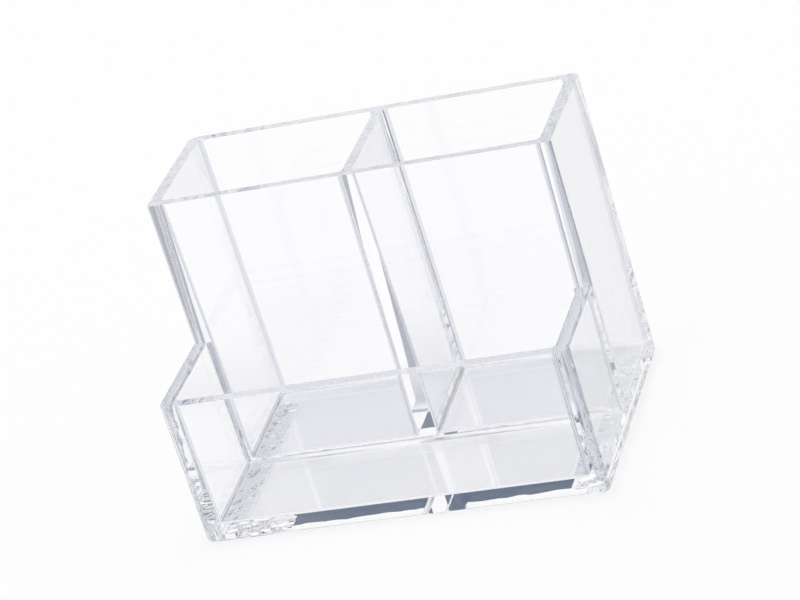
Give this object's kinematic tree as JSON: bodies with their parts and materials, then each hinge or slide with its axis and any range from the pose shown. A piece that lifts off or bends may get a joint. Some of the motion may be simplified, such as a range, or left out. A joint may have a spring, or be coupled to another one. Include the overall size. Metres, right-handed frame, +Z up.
{
  "type": "clear pen holder",
  "caption": "Clear plastic desk pen holder: two tall pen bays side by side at the back and one low full-width tray in front, on two low foot strips.",
  "frame": {"origin": "on the surface it stands on, under the middle of its outline", "axes": "+X to the holder's right as seen from the tray, +Y from the tray to the pen bays, +Z up"},
  "size_m": [0.12, 0.081, 0.091],
  "materials": {
    "clear_panel": "clear polystyrene sheet, polished",
    "clear_cement": "clear set cement",
    "clear_foot": "clear soft vinyl strip"
  },
  "bodies": {
    "root": {"base_plate": "clear_panel", "left_side_panel": "clear_panel", "right_side_panel": "clear_panel", "back_panel": "clear_panel", "divider_panel": "clear_panel", "bay_partition": "clear_panel", "front_panel": "clear_panel", "left_bay_cement": "clear_cement", "right_bay_cement": "clear_cement", "front_tray_cement": "clear_cement", "left_foot_strip": "clear_foot", "right_foot_strip": "clear_foot"}
  },
  "joints": []
}
